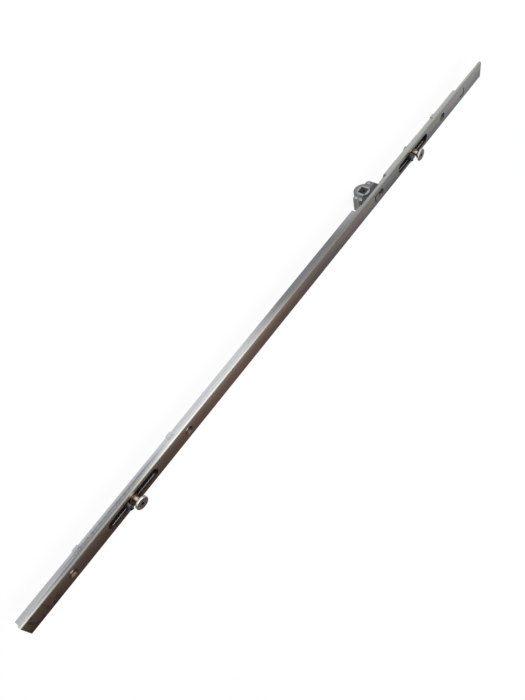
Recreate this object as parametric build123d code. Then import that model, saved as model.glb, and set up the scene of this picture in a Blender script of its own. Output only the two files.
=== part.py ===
from build123d import *
import math
import os

# Window espagnolette with a rack and pinion gearbox. Millimetres, +Z up.
# The origin is the centre of the square spindle hole. X runs along the faceplate,
# Y runs along the spindle, and the faceplate's front looks along +Z.

# Faceplate
PLATE_LENGTH = 600.0
PLATE_WIDTH = 16.0
PLATE_THICKNESS = 2.6
PLATE_FRONT_RADIUS = 1.2
PLATE_BACK_RADIUS = 0.4

# Stations along the faceplate, counted from its near end
NEAR_CAM_STATION = 101.5
NEAR_SCREW_STATIONS = (42.3, 160.6)
GUIDE_REACH = 47.0
FAR_GUIDE_REACH = 42.0
CASE_SCREW_REACH = 10.0
ROD_NEAR_END_STATION = 0.6

# Distances back from the faceplate's far end
SPINDLE_INSET = 189.6
FAR_CAM_INSET = 126.2
FAR_SCREW_INSET = 73.6
ROD_END_INSET = 45.0

# Openings in the faceplate
CAM_SLOT_LENGTH = 49.4
CAM_SLOT_WIDTH = 8.8
SCREW_HOLE_RADIUS = 2.2
COUNTERSINK_RADIUS = 3.6
FAR_LANCE_INSET = 33.7
LANCE_REACH = 1.1
LANCE_LEG = 6.5
LANCE_FOOT = 5.4
LANCE_OFFSET = 2.7
LANCE_WIDTH = 0.9
LANCE_DEPTH = 0.7

# Rack and pinion
MODULE = 0.8
PINION_TEETH = 16
PRESSURE_ANGLE = math.radians(20)
DEDENDUM = MODULE
ADDENDUM = 0.8 * MODULE
BACKLASH = 0.12
RACK_TEETH = 12
RACK_HEIGHT = 2.6
RACK_WIDTH = 9.0
RACK_HALF_LENGTH = 24.0
RACK_END_THICKNESS = 2.0
RACK_END_OVERLAP = 1.0
HUB_TURN = math.radians(90)
PINION_HALF_WIDTH = 4.0
JOURNAL_RADIUS = 5.5
SPINDLE_SQUARE = 7.0
SPINDLE_CORNER = 0.6
TOOTH_SINK = 1.0

# Clearances
RUN_GAP = 0.2
SIDE_GAP = 0.25
TIP_GAP = 0.25
JOURNAL_GAP = 0.05
RIVET_GAP = 0.02
SCREW_GAP = 0.3

# How far a cutting shape reaches past what it cuts
OVERCUT = 1.0

# Drive rods, a channel rolled from strip
ROD_WIDTH = 14.0
ROD_HEIGHT = 4.0
FAR_ROD_HEIGHT = 2.2
ROD_WALL = 1.5
ROD_BEND_RADIUS = 0.75
ROD_GROOVE_WIDTH = 0.8
ROD_GROOVE_DEPTH = 0.4

# Gearbox casing
CASE_HALF_WIDTH = 6.0
CASE_WALL = 0.9
CASE_LUG_HALF_LENGTH = 12.4
CASE_LUG_BOTTOM = -3.4
CASE_LUG_RADIUS = 2.4
CASE_BOSS_RADIUS = 7.0
CASE_BOSS_HEIGHT = 0.4
CASE_SCREW_RADIUS = 1.25
CASE_SCREW_DEPTH = 4.5
CASE_RIVET_RADIUS = 1.0
CASE_RIVET_HEAD_RADIUS = 1.7
CASE_RIVET_HEAD_HEIGHT = 0.7
CASE_RIVET_REACH = 9.9
CASE_LOW_RIVET_Z = -1.2
CASE_HIGH_RIVET_Z = 3.4

# Mushroom cams and what carries them
CAM_SPIGOT_RADIUS = 3.0
CAM_COLLAR_RADIUS = 4.0
CAM_COLLAR_PROUD = 0.6
CAM_NECK_RADIUS = 2.6
CAM_NECK_LENGTH = 4.9
CAM_NECK_SINK = 0.1
CAM_FLARE = 1.6
CAM_HEAD_RADIUS = 5.4
CAM_HEAD_HEIGHT = 2.2
CAM_HEAD_CHAMFER = 0.4
CAM_ECCENTRICITY = 0.7
CAM_SOCKET_FLATS = 2.5
CAM_SOCKET_DEPTH = 2.4
CAM_MARK_RADIUS = 0.45
CAM_MARK_DEPTH = 0.3
CAM_MARK_REACH = 3.6
NOSE_RADIUS = 3.8
NOSE_OFFSET = 4.6
NOSE_PROUD = 3.2
NOSE_CHAMFER = 0.5
NOSE_FIT = 0.1
CAM_CLINCH_RADIUS = 3.8
CAM_CLINCH_HEIGHT = 0.8
WASHER_RADIUS = 4.3
WASHER_THICKNESS = 0.6
CARRIER_LENGTH = 36.0
CARRIER_GAP = 1.5
CARRIER_WIDTH = 8.8
CARRIER_CORNER = 1.5
CARRIER_RIVET_OFFSET = 13.0
ROD_RIVET_RADIUS = 1.5
ROD_RIVET_HEAD_RADIUS = 2.4
ROD_RIVET_HEAD_HEIGHT = 0.7
ROD_RIVET_COVER = 0.4
RIVET_CHAMFER = 0.42
RACK_RIVET_SHARES = (0.29, 0.72)

# Rod guides, clips bent from thin strip
GUIDE_LENGTH = 5.0
GUIDE_THICKNESS = 0.5

# Worked out from the sizes above
PITCH_RADIUS = MODULE * PINION_TEETH / 2
STROKE = PITCH_RADIUS * HUB_TURN
BACKSET = PLATE_THICKNESS + RUN_GAP + RACK_HEIGHT - ADDENDUM + PITCH_RADIUS
FACE_Z = BACKSET
SPINDLE_STATION = PLATE_LENGTH - SPINDLE_INSET
FAR_CAM_STATION = PLATE_LENGTH - FAR_CAM_INSET
CASE_SCREW_STATION = SPINDLE_STATION + CASE_SCREW_REACH
FAR_SCREW_STATION = PLATE_LENGTH - FAR_SCREW_INSET
ROD_FAR_END_STATION = PLATE_LENGTH - ROD_END_INSET
LANCE_STATIONS = (SPINDLE_STATION + LANCE_REACH, PLATE_LENGTH - FAR_LANCE_INSET)
NEAR_GUIDE_STATION = NEAR_CAM_STATION - GUIDE_REACH
INNER_GUIDE_STATION = NEAR_CAM_STATION + GUIDE_REACH
FAR_GUIDE_STATION = FAR_CAM_STATION + FAR_GUIDE_REACH
RACK_END_REACH = FAR_CAM_STATION - SPINDLE_STATION - CARRIER_LENGTH / 2 - CARRIER_GAP
RACK_LAP = RACK_END_REACH - RACK_HALF_LENGTH
RACK_RIVET_STEPS = [share * RACK_LAP for share in RACK_RIVET_SHARES]
PLATE_BACK_Z = FACE_Z - PLATE_THICKNESS
ROD_TOP_Z = PLATE_BACK_Z - RUN_GAP
WEB_BACK_Z = ROD_TOP_Z - ROD_WALL
FLANGE_END_Z = ROD_TOP_Z - ROD_HEIGHT
RACK_TIP_Z = ROD_TOP_Z - RACK_HEIGHT
FAR_FLANGE_END_Z = ROD_TOP_Z - FAR_ROD_HEIGHT
PINION_TIP_RADIUS = PITCH_RADIUS + ADDENDUM
CAVITY_RADIUS = PINION_TIP_RADIUS + TIP_GAP
CAVITY_HALF_WIDTH = PINION_HALF_WIDTH + SIDE_GAP
CASE_HALF_LENGTH = CAVITY_RADIUS + CASE_WALL
CASE_TOP_Z = RACK_TIP_Z - TIP_GAP
CHANNEL_INSIDE = ROD_WIDTH - 2 * ROD_WALL
SCREW_SLOT_WIDTH = 2 * SCREW_HOLE_RADIUS + 2 * SCREW_GAP
SCREW_SLOT_LENGTH = SCREW_SLOT_WIDTH + 2 * STROKE
CASE_SCREW_SLOT_WIDTH = 2 * CASE_SCREW_RADIUS + 3 * SCREW_GAP
CASE_SCREW_SLOT_LENGTH = CASE_SCREW_SLOT_WIDTH + 2 * STROKE


def x_of(station):
    return station - SPINDLE_STATION


def block(x0, x1, y0, y1, z0, z1):
    size = Box(x1 - x0, y1 - y0, z1 - z0)
    return Pos((x0 + x1) / 2, (y0 + y1) / 2, (z0 + z1) / 2) * size


def upright(radius, x, z0, z1):
    return Pos(x, 0, (z0 + z1) / 2) * Cylinder(radius, z1 - z0)


def across(radius, x, z, y0, y1):
    turned = Rot(90, 0, 0) * Cylinder(radius, y1 - y0)
    return Pos(x, (y0 + y1) / 2, z) * turned


def obround(length, width, x, z0, z1):
    outline = Pos(x, 0, z0) * SlotOverall(length, width)
    return extrude(outline, z1 - z0, dir=(0, 0, 1))


def lance_mark(station, turn):
    leg = Pos(LANCE_LEG / 2, LANCE_OFFSET) * Rectangle(LANCE_LEG, LANCE_WIDTH)
    foot = Pos(0, LANCE_OFFSET - LANCE_FOOT / 2) * Rectangle(LANCE_WIDTH, LANCE_FOOT + LANCE_WIDTH)
    outline = Pos(x_of(station), 0, FACE_Z - LANCE_DEPTH) * Rot(0, 0, turn) * (leg + foot)
    return extrude(outline, 2 * LANCE_DEPTH, dir=(0, 0, 1))


def screw_hole(x):
    sink = COUNTERSINK_RADIUS - SCREW_HOLE_RADIUS
    hole = upright(SCREW_HOLE_RADIUS, x, PLATE_BACK_Z - OVERCUT, FACE_Z + OVERCUT)
    cone = Pos(x, 0, FACE_Z - sink / 2) * Cone(SCREW_HOLE_RADIUS, COUNTERSINK_RADIUS, sink)
    return hole + cone


def faceplate():
    near = x_of(0)
    far = x_of(PLATE_LENGTH)
    half = PLATE_WIDTH / 2
    plate = block(near, far, -half, half, PLATE_BACK_Z, FACE_Z)
    long_edges = plate.edges().filter_by(Axis.X).group_by(Axis.Z)
    plate = fillet(long_edges[-1], PLATE_FRONT_RADIUS)
    long_edges = plate.edges().filter_by(Axis.X).group_by(Axis.Z)
    plate = fillet(long_edges[0], PLATE_BACK_RADIUS)
    for station in (NEAR_CAM_STATION, FAR_CAM_STATION):
        x = x_of(station)
        plate -= obround(CAM_SLOT_LENGTH, CAM_SLOT_WIDTH, x, PLATE_BACK_Z - OVERCUT, FACE_Z + OVERCUT)
    for station in (*NEAR_SCREW_STATIONS, CASE_SCREW_STATION, FAR_SCREW_STATION):
        plate -= screw_hole(x_of(station))
    for station, turn in zip(LANCE_STATIONS, (0, 180)):
        plate -= lance_mark(station, turn)
    return plate


def tooth_flank(teeth_thickness):
    base = PITCH_RADIUS * math.cos(PRESSURE_ANGLE)
    half_at_pitch = teeth_thickness / 2 / PITCH_RADIUS
    start = half_at_pitch + math.tan(PRESSURE_ANGLE) - PRESSURE_ANGLE
    roll_end = math.sqrt((PINION_TIP_RADIUS / base) ** 2 - 1)
    points = []
    for share in (0, 0.5, 1):
        roll = roll_end * share
        radius = base * math.sqrt(1 + roll * roll)
        angle = start - (roll - math.atan(roll))
        points.append((radius, angle))
    return points


def pinion_outline():
    root = PITCH_RADIUS - DEDENDUM
    flank = tooth_flank(math.pi * MODULE / 2 - BACKLASH)

    def place(radius, angle):
        return (radius * math.sin(angle), radius * math.cos(angle))

    foot_angle = flank[0][1]
    right = [place(r, a) for r, a in flank]
    left = [place(r, -a) for r, a in flank]
    inside = place(root - TOOTH_SINK, foot_angle)
    tooth = [
        Line(inside, right[0]),
        ThreePointArc(*right),
        ThreePointArc(right[-1], place(PINION_TIP_RADIUS, 0), left[-1]),
        ThreePointArc(*reversed(left)),
        Line(left[0], place(root - TOOTH_SINK, -foot_angle)),
        Line(place(root - TOOTH_SINK, -foot_angle), inside),
    ]
    face = make_face(tooth)
    outline = Circle(root)
    for index in range(PINION_TEETH):
        outline += Rot(0, 0, 360 * index / PINION_TEETH) * face
    return outline


def spindle_hub():
    # The outline is drawn with its first tooth along +Y, then stood up so that it meets the rack.
    gear = extrude(Plane.XZ * pinion_outline(), PINION_HALF_WIDTH, both=True)
    end = CASE_HALF_WIDTH + CASE_BOSS_HEIGHT
    journals = across(JOURNAL_RADIUS, 0, 0, -end, end)
    square = RectangleRounded(SPINDLE_SQUARE, SPINDLE_SQUARE, SPINDLE_CORNER)
    hole = extrude(Plane.XZ * square, end + OVERCUT, both=True)
    return gear + journals - hole


def drive_rack():
    half = RACK_WIDTH / 2
    middle = block(-RACK_HALF_LENGTH, RACK_HALF_LENGTH, -half, half, RACK_TIP_Z, ROD_TOP_Z)
    pitch = math.pi * MODULE
    toothed = RACK_TEETH * pitch / 2
    slope = math.tan(PRESSURE_ANGLE)
    root_z = RACK_TIP_Z + ADDENDUM + DEDENDUM
    pitch_z = RACK_TIP_Z + ADDENDUM
    space = pitch / 2
    gaps = RACK_TEETH + 1
    for index in range(gaps):
        centre = -toothed + index * pitch
        wide = space / 2 + slope * (pitch_z - RACK_TIP_Z + OVERCUT)
        tight = space / 2 - slope * (root_z - pitch_z)
        corners = [
            (centre - wide, RACK_TIP_Z - OVERCUT),
            (centre - tight, root_z),
            (centre + tight, root_z),
            (centre + wide, RACK_TIP_Z - OVERCUT),
        ]
        cutter = make_face(Polyline(*corners, close=True))
        middle -= extrude(Plane.XZ * cutter, half + OVERCUT, both=True)
    inside = CHANNEL_INSIDE / 2 - RIVET_GAP
    low = WEB_BACK_Z - RACK_END_THICKNESS
    for side in (-1, 1):
        x_in = side * (RACK_HALF_LENGTH - RACK_END_OVERLAP)
        x_out = side * (RACK_HALF_LENGTH + RACK_LAP)
        x_face = side * RACK_HALF_LENGTH
        middle += block(min(x_in, x_out), max(x_in, x_out), -half, half, low, WEB_BACK_Z)
        middle += block(min(x_face, x_out), max(x_face, x_out), -inside, inside, low, WEB_BACK_Z)
        for step in RACK_RIVET_STEPS:
            middle -= upright(ROD_RIVET_RADIUS, side * (RACK_HALF_LENGTH + step), low - OVERCUT, ROD_TOP_Z)
    middle -= obround(
        CASE_SCREW_SLOT_LENGTH,
        CASE_SCREW_SLOT_WIDTH,
        x_of(CASE_SCREW_STATION),
        RACK_TIP_Z - OVERCUT,
        ROD_TOP_Z + OVERCUT,
    )
    return middle


def rod_channel(x0, x1, low):
    half = ROD_WIDTH / 2
    inside = CHANNEL_INSIDE / 2
    rod = block(x0, x1, -half, half, low, ROD_TOP_Z)
    rod = fillet(rod.edges().filter_by(Axis.X).group_by(Axis.Z)[-1], ROD_BEND_RADIUS)
    rod -= block(x0 - OVERCUT, x1 + OVERCUT, -inside, inside, low - OVERCUT, WEB_BACK_Z)
    groove = ROD_GROOVE_WIDTH / 2
    groove_floor = ROD_TOP_Z - ROD_GROOVE_DEPTH
    rod -= block(x0 - OVERCUT, x1 + OVERCUT, -groove, groove, groove_floor, ROD_TOP_Z + OVERCUT)
    return rod


def carrier_rivet_places(cam_station):
    return [x_of(cam_station) + side * CARRIER_RIVET_OFFSET for side in (-1, 1)]


def cam_nose(x, low, top, gap):
    centre = x - NOSE_OFFSET
    radius = NOSE_RADIUS + gap
    nose = upright(radius, centre, low, top)
    return nose - block(centre + gap, centre + radius + OVERCUT, -radius, radius, low, top)


def cut_for_cam(rod, cam_station):
    spigot = CAM_SPIGOT_RADIUS + JOURNAL_GAP
    rod -= upright(spigot, x_of(cam_station), FLANGE_END_Z, ROD_TOP_Z + OVERCUT)
    rod -= cam_nose(x_of(cam_station), FLANGE_END_Z, ROD_TOP_Z + OVERCUT, NOSE_FIT)
    for x in carrier_rivet_places(cam_station):
        rod -= upright(ROD_RIVET_RADIUS, x, FLANGE_END_Z, ROD_TOP_Z - ROD_RIVET_COVER)
    return rod


def near_drive_rod():
    rod = rod_channel(x_of(ROD_NEAR_END_STATION), -RACK_HALF_LENGTH, FLANGE_END_Z)
    for station in NEAR_SCREW_STATIONS:
        x = x_of(station)
        rod -= obround(SCREW_SLOT_LENGTH, SCREW_SLOT_WIDTH, x, FLANGE_END_Z, ROD_TOP_Z + OVERCUT)
    for step in RACK_RIVET_STEPS:
        rod -= upright(ROD_RIVET_RADIUS, -RACK_HALF_LENGTH - step, FLANGE_END_Z, ROD_TOP_Z + OVERCUT)
    return cut_for_cam(rod, NEAR_CAM_STATION)


def far_drive_rod():
    end = x_of(ROD_FAR_END_STATION)
    rod = rod_channel(RACK_HALF_LENGTH, end, FAR_FLANGE_END_Z)
    screw = x_of(FAR_SCREW_STATION)
    rod -= obround(SCREW_SLOT_LENGTH, SCREW_SLOT_WIDTH, screw, FLANGE_END_Z, ROD_TOP_Z + OVERCUT)
    half = SCREW_SLOT_WIDTH / 2
    rod -= block(screw, end + OVERCUT, -half, half, FLANGE_END_Z, ROD_TOP_Z + OVERCUT)
    for step in RACK_RIVET_STEPS:
        rod -= upright(ROD_RIVET_RADIUS, RACK_HALF_LENGTH + step, FLANGE_END_Z, ROD_TOP_Z + OVERCUT)
    return cut_for_cam(rod, FAR_CAM_STATION)


def rack_rivets():
    low = WEB_BACK_Z - RACK_END_THICKNESS
    rivets = []
    for side in (-1, 1):
        for step in RACK_RIVET_STEPS:
            x = side * (RACK_HALF_LENGTH + step)
            shank = upright(ROD_RIVET_RADIUS - RIVET_GAP, x, low, ROD_TOP_Z)
            rivets.append(shank + rivet_head(x, low))
    return Compound(children=rivets)


def rivet_head(x, z):
    head = upright(ROD_RIVET_HEAD_RADIUS, x, z - ROD_RIVET_HEAD_HEIGHT, z)
    rim = head.edges().filter_by(GeomType.CIRCLE).group_by(Axis.Z)[0]
    return chamfer(rim, RIVET_CHAMFER)


def cam_carrier(cam_station):
    x = x_of(cam_station)
    half = CARRIER_LENGTH / 2
    side = CARRIER_WIDTH / 2
    tongue = block(x - half, x + half, -side, side, FLANGE_END_Z, WEB_BACK_Z)
    nose = cam_nose(x, FLANGE_END_Z, FACE_Z + NOSE_PROUD, 0)
    nose = chamfer(nose.edges().group_by(Axis.Z)[-1], NOSE_CHAMFER)
    carrier = fillet(tongue.edges().filter_by(Axis.Z), CARRIER_CORNER) + nose
    carrier -= upright(CAM_SPIGOT_RADIUS + JOURNAL_GAP, x, FLANGE_END_Z - OVERCUT, WEB_BACK_Z + OVERCUT)
    for place in carrier_rivet_places(cam_station):
        carrier -= upright(ROD_RIVET_RADIUS, place, FLANGE_END_Z - OVERCUT, WEB_BACK_Z + OVERCUT)
    return carrier


def carrier_rivets(cam_station):
    rivets = []
    for x in carrier_rivet_places(cam_station):
        shank = upright(ROD_RIVET_RADIUS - RIVET_GAP, x, FLANGE_END_Z, ROD_TOP_Z - ROD_RIVET_COVER)
        rivets.append(shank + rivet_head(x, FLANGE_END_Z))
    return Compound(children=rivets)


def cam_washer(cam_station):
    x = x_of(cam_station)
    low = FLANGE_END_Z - WASHER_THICKNESS
    ring = upright(WASHER_RADIUS, x, low, FLANGE_END_Z)
    return ring - upright(CAM_SPIGOT_RADIUS + JOURNAL_GAP, x, low - OVERCUT, FLANGE_END_Z + OVERCUT)


def mushroom_cam(cam_station):
    clinch_top = FLANGE_END_Z - WASHER_THICKNESS - JOURNAL_GAP
    collar_low = ROD_TOP_Z + JOURNAL_GAP
    collar_top = FACE_Z + CAM_COLLAR_PROUD
    neck_top = collar_top + CAM_NECK_LENGTH
    head_top = neck_top + CAM_HEAD_HEIGHT
    clinch = upright(CAM_CLINCH_RADIUS, 0, clinch_top - CAM_CLINCH_HEIGHT, clinch_top)
    spigot = upright(CAM_SPIGOT_RADIUS, 0, clinch_top, collar_low)
    collar = upright(CAM_COLLAR_RADIUS, 0, collar_low, collar_top)
    profile = [
        (0, collar_top - CAM_NECK_SINK),
        (CAM_NECK_RADIUS, collar_top - CAM_NECK_SINK),
        (CAM_NECK_RADIUS, neck_top - CAM_FLARE),
        (CAM_HEAD_RADIUS, neck_top + CAM_FLARE / 2),
        (CAM_HEAD_RADIUS, head_top - CAM_HEAD_CHAMFER),
        (CAM_HEAD_RADIUS - CAM_HEAD_CHAMFER, head_top),
        (0, head_top),
    ]
    half_section = Plane.XZ * make_face(Polyline(*profile, close=True))
    mushroom = Pos(CAM_ECCENTRICITY, 0, 0) * revolve(half_section, Axis.Z)
    flats = RegularPolygon(CAM_SOCKET_FLATS / 2, 6, major_radius=False)
    socket_floor = Pos(CAM_ECCENTRICITY, 0, head_top - CAM_SOCKET_DEPTH)
    socket = extrude(socket_floor * flats, CAM_SOCKET_DEPTH + OVERCUT)
    mark_floor = head_top - CAM_MARK_DEPTH
    mark = upright(CAM_MARK_RADIUS, CAM_ECCENTRICITY - CAM_MARK_REACH, mark_floor, head_top + OVERCUT)
    whole = clinch + spigot + collar + mushroom - socket - mark
    return Pos(x_of(cam_station), 0, 0) * whole


def rod_guide(station, rod_low):
    x0 = x_of(station) - GUIDE_LENGTH / 2
    x1 = x_of(station) + GUIDE_LENGTH / 2
    inside = ROD_WIDTH / 2 + RUN_GAP
    outside = inside + GUIDE_THICKNESS
    inner_z = rod_low - RUN_GAP
    outer_z = inner_z - GUIDE_THICKNESS
    clip = block(x0, x1, -outside, outside, outer_z, PLATE_BACK_Z)
    clip = fillet(clip.edges().filter_by(Axis.X).group_by(Axis.Z)[0], GUIDE_THICKNESS)
    return clip - block(x0 - OVERCUT, x1 + OVERCUT, -inside, inside, inner_z, PLATE_BACK_Z + OVERCUT)


def case_outline():
    tall = PLATE_BACK_Z - CASE_LUG_BOTTOM
    lugs = Pos(0, CASE_LUG_BOTTOM + tall / 2) * Rectangle(2 * CASE_LUG_HALF_LENGTH, tall)
    lugs = fillet(lugs.vertices().group_by(Axis.Y)[0], CASE_LUG_RADIUS)
    return Circle(CASE_HALF_LENGTH) + lugs


def case_rivet_places():
    reach = CASE_RIVET_REACH
    return [(-reach, CASE_LOW_RIVET_Z), (reach, CASE_LOW_RIVET_Z), (-reach, CASE_HIGH_RIVET_Z)]


def case_half(side):
    # Plane.XZ looks along -Y, so a positive extrusion of its outline goes towards -Y.
    shell = extrude(Plane.XZ * case_outline(), -side * CASE_HALF_WIDTH)
    outer = side * (CASE_HALF_WIDTH + CASE_BOSS_HEIGHT)
    shell += across(CASE_BOSS_RADIUS, 0, 0, min(0, outer), max(0, outer))
    shell -= across(CAVITY_RADIUS, 0, 0, -CAVITY_HALF_WIDTH, CAVITY_HALF_WIDTH)
    inside = CAVITY_HALF_WIDTH
    shell -= block(-PITCH_RADIUS, PITCH_RADIUS, -inside, inside, 0, CASE_TOP_Z + OVERCUT)
    long_half = CASE_LUG_HALF_LENGTH + OVERCUT
    track = RACK_WIDTH / 2 + SIDE_GAP
    shell -= block(-long_half, long_half, -track, track, CASE_TOP_Z, PLATE_BACK_Z + OVERCUT)
    bore = JOURNAL_RADIUS + JOURNAL_GAP
    shell -= across(bore, 0, 0, -CASE_HALF_WIDTH - OVERCUT, CASE_HALF_WIDTH + OVERCUT)
    for x, z in case_rivet_places():
        shell -= across(CASE_RIVET_RADIUS, x, z, -CASE_HALF_WIDTH - OVERCUT, CASE_HALF_WIDTH + OVERCUT)
    screw = x_of(CASE_SCREW_STATION)
    shell -= upright(CASE_SCREW_RADIUS, screw, CASE_TOP_Z - CASE_SCREW_DEPTH, CASE_TOP_Z + OVERCUT)
    return shell


def case_rivets():
    rivets = []
    for x, z in case_rivet_places():
        rivet = across(CASE_RIVET_RADIUS - RIVET_GAP, x, z, -CASE_HALF_WIDTH, CASE_HALF_WIDTH)
        tip = CASE_HALF_WIDTH + CASE_RIVET_HEAD_HEIGHT
        for y0, y1 in ((-tip, -CASE_HALF_WIDTH), (CASE_HALF_WIDTH, tip)):
            head = across(CASE_RIVET_HEAD_RADIUS, x, z, y0, y1)
            outer = head.edges().filter_by(GeomType.CIRCLE).sort_by(Axis.Y)[0 if y0 < 0 else -1]
            rivet += chamfer(outer, RIVET_CHAMFER)
        rivets.append(rivet)
    return Compound(children=rivets)


PIECES = {
    "faceplate": faceplate,
    "gearbox_case": lambda: case_half(1),
    "gearbox_cover": lambda: case_half(-1),
    "case_rivets": case_rivets,
    "spindle_hub": spindle_hub,
    "drive_rack": drive_rack,
    "rack_rivets": rack_rivets,
    "near_drive_rod": near_drive_rod,
    "far_drive_rod": far_drive_rod,
    "near_cam_carrier": lambda: cam_carrier(NEAR_CAM_STATION),
    "far_cam_carrier": lambda: cam_carrier(FAR_CAM_STATION),
    "near_carrier_rivets": lambda: carrier_rivets(NEAR_CAM_STATION),
    "far_carrier_rivets": lambda: carrier_rivets(FAR_CAM_STATION),
    "near_cam_washer": lambda: cam_washer(NEAR_CAM_STATION),
    "far_cam_washer": lambda: cam_washer(FAR_CAM_STATION),
    "near_cam": lambda: mushroom_cam(NEAR_CAM_STATION),
    "far_cam": lambda: mushroom_cam(FAR_CAM_STATION),
    "near_rod_guide": lambda: rod_guide(NEAR_GUIDE_STATION, FLANGE_END_Z),
    "inner_rod_guide": lambda: rod_guide(INNER_GUIDE_STATION, FLANGE_END_Z),
    "far_rod_guide": lambda: rod_guide(FAR_GUIDE_STATION, FAR_FLANGE_END_Z),
}

os.makedirs("parts", exist_ok=True)
for node, build in PIECES.items():
    export_step(build(), f"parts/{node}.step")
print("backset", BACKSET, "stroke", STROKE)
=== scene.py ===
import math

import bmesh
import bpy
from mathutils import Matrix, Vector


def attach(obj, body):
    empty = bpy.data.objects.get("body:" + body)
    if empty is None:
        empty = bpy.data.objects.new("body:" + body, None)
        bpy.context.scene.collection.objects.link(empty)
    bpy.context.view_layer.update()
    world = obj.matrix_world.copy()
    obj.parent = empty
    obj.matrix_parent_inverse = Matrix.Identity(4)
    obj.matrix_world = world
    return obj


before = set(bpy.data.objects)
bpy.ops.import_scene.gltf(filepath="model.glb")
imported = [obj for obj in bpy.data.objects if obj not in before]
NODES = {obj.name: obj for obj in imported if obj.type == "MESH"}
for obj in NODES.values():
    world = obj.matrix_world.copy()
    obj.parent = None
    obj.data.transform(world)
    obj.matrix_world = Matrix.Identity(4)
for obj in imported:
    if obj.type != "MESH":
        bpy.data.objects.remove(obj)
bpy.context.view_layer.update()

MM = 0.001

# Where things stand, in millimetres from the centre of the spindle hole
FACE_Z = 11.16
PLATE_BACK_Z = 8.56
ROD_TOP_Z = 8.36
CLINCH_LOW_Z = 2.91
NEAR_CAM_X = -308.9
FAR_CAM_X = 63.4
SCREW_XS = (-368.1, -249.8, 10.0, 116.0)
GUIDE_XS = {"near": -355.9, "inner": -261.9, "far": 105.4}
SLOT_LENGTH = 49.4
SLOT_WIDTH = 8.8
COUNTERSINK_RADIUS = 3.6
CAM_ECCENTRICITY = 0.7
CAM_HEAD_TOP_Z = 18.86
CAM_STAKE_REACH = 3.4
HUB_END_Y = 6.4
HUB_RING_RADIUS = 5.25
PLATE_HALF_WIDTH = 8.0
GUIDE_OUTSIDE_Y = 7.7
PLATE_MIDDLE_X = -110.4
PLATE_HALF_LENGTH = 300.0
CASE_SIDE_Y = 6.0
LANCE_CORNERS = ((1.1, 1), (155.9, -1))
LANCE_LEG = 6.5
LANCE_OFFSET = 2.7
LANCE_HALF_WIDTH = 0.45
# How far from the middle line the plate's openings, the rod's face, dark with grease and painted
# shade, and its screw slots reach
CUTS_REACH_Y = 5.2
ROD_FACE_REACH_Y = 5.6
SCREW_SLOT_REACH_Y = 4.2
# Where a cam head's bright rim, a painted highlight, begins, and the size of its tool socket
HEAD_RIM_RADIUS = 5.0
SOCKET_RADIUS = 1.5

# Painted sheen: how light the reflections on the plate's edge and the rod's side fall along the strip:
# place along X, and tone
EDGE_HIGHLIGHT_TONES = [
    (-405, 0.74), (-370, 0.32), (-315, 0.37), (-265, 0.95),
    (-185, 0.88), (-120, 0.33), (-50, 0.30), (15, 0.58),
]
ROD_SHEEN_TONES = [
    (-405, 0.86), (-300, 0.86), (-270, 1.1), (-180, 1.1),
    (-130, 0.42), (-60, 0.36), (-20, 0.7), (60, 0.85),
]
# The same for the face, painted reflection brightness together with the film's own tone: its brown
# near half and its coloured far half
BROWN_TONES = [
    (-405, 0.50), (-375, 0.70), (-335, 0.64), (-280, 0.76),
    (-205, 1.04), (-130, 0.72), (-60, 0.66),
]
FILM_TONES = [(-90, 0.84), (-15, 1.0), (40, 0.86), (150, 1.0)]
# Painted shade: how light each cam's head is painted; the far head is painted darker
HEAD_SHADE_TONES = {"near": 1.0, "far": 0.52}
# How fine the lathe's lines are on a cam's flat and round faces, in radians a millimetre
FLAT_TURNING = 26.0
ROUND_TURNING = 30.0
# A finish's roughness before it is painted
PLAIN_ROUGHNESS = 0.4

# The small raised marks, in millimetres
RIM_RADIUS = 0.08
NUGGET_Z = 7.4
NUGGET_RADIUS = 0.6
NUGGET_OFF_MIDDLE = 1.2
STAKE_COUNT = 6
STAKE_RADIUS = 0.28
EJECTOR_PLACES = ((-8.4, 6.6), (8.4, 6.6), (10.2, 2.6))
EJECTOR_RADIUS = 0.9
RING_LINE_RADIUS = 0.05
WELD_DISTANCE = 0.002

# Where a colour mix node keeps its share, its two colours and their mixture
MIX_SHARE = 0
MIX_FIRST = 6
MIX_SECOND = 7
MIX_RESULT = 2

# The floor, in metres, and the share of its own white that it shows under the strip and far out
FLOOR_HALF_WIDTH = 6.0
FLOOR_LEVEL = -0.0084
GLOW_UNDER_STRIP = 0.93
GLOW_FAR_OUT = 1.0
GLOW_EASES_FROM = 0.3
GLOW_EASES_TO = 1.0
# The place that the lamps look at, in metres
LAMPS_AIM = (-0.1, 0, 0)
# The way to the room's dim corner, and the room's shade by how nearly one looks that way
DIM_CORNER = (-0.2, -0.873, 0.446)
ROOM_SHADES = [
    (0.0, (0.95, 0.97, 0.98)),
    (0.20, (0.80, 0.82, 0.84)),
    (0.50, (0.52, 0.53, 0.54)),
    (0.78, (0.24, 0.22, 0.21)),
    (0.95, (0.13, 0.115, 0.105)),
    (1.0, (0.11, 0.10, 0.095)),
]

# The face's colours across the strip, from its -Y edge to its +Y edge
FILM_COLOURS = [
    (0.0, (0.21, 0.235, 0.245)),
    (0.24, (0.235, 0.27, 0.30)),
    (0.40, (0.31, 0.285, 0.34)),
    (0.54, (0.42, 0.32, 0.335)),
    (0.68, (0.47, 0.39, 0.32)),
    (0.84, (0.43, 0.41, 0.32)),
    (1.0, (0.39, 0.41, 0.375)),
]
BROWN_COLOURS = [
    (0.0, (0.42, 0.30, 0.25)),
    (0.5, (0.51, 0.37, 0.315)),
    (0.7, (0.68, 0.52, 0.43)),
    (0.9, (0.92, 0.74, 0.61)),
    (1.0, (0.98, 0.83, 0.70)),
]

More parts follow.
